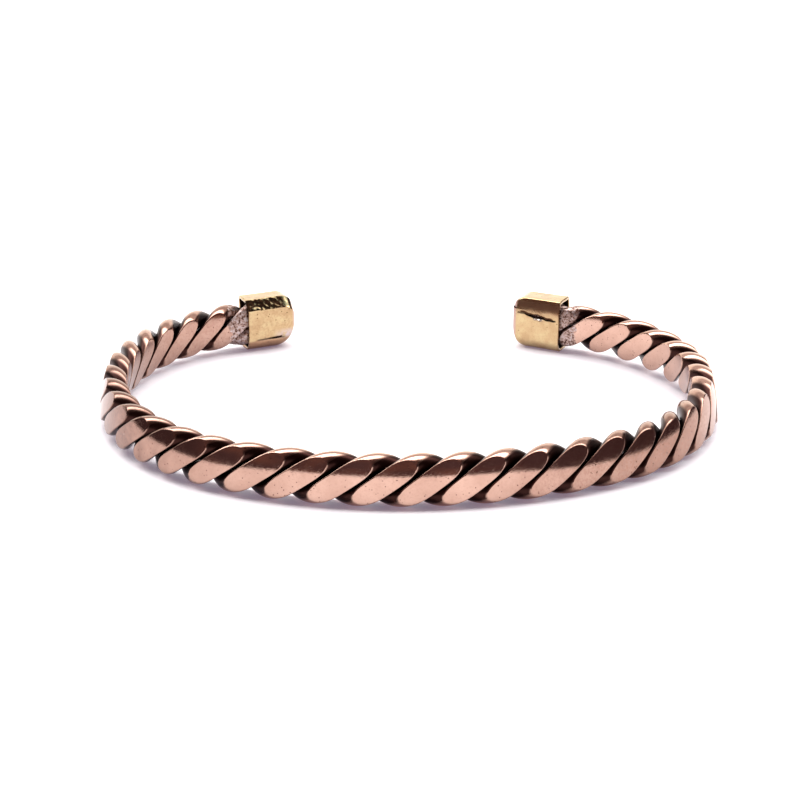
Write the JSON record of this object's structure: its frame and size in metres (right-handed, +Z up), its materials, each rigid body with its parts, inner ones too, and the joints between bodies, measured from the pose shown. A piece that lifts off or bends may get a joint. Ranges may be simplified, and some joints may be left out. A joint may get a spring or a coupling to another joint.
{
  "type": "twisted wire bangle",
  "caption": "Open oval cuff bangle of twisted copper strands with flattened faces and a small brass cap on each end, worn round the wrist.",
  "frame": {"origin": "on the floor, under the middle of the bangle's bounding box", "axes": "+X along the width of the bangle, +Y towards the opening between the caps, +Z up from the surface it lies on, through the wrist opening"},
  "size_m": [0.0664, 0.0501, 0.0063],
  "materials": {
    "copper": "polished copper with a warm brown tarnish, its faces hammered nearly flat",
    "brass": "polished sheet with fine scratches and small creases"
  },
  "bodies": {
    "root": {"strand_1": "copper", "strand_2": "copper", "strand_3": "copper", "cap_left": "brass", "cap_right": "brass"}
  },
  "joints": []
}
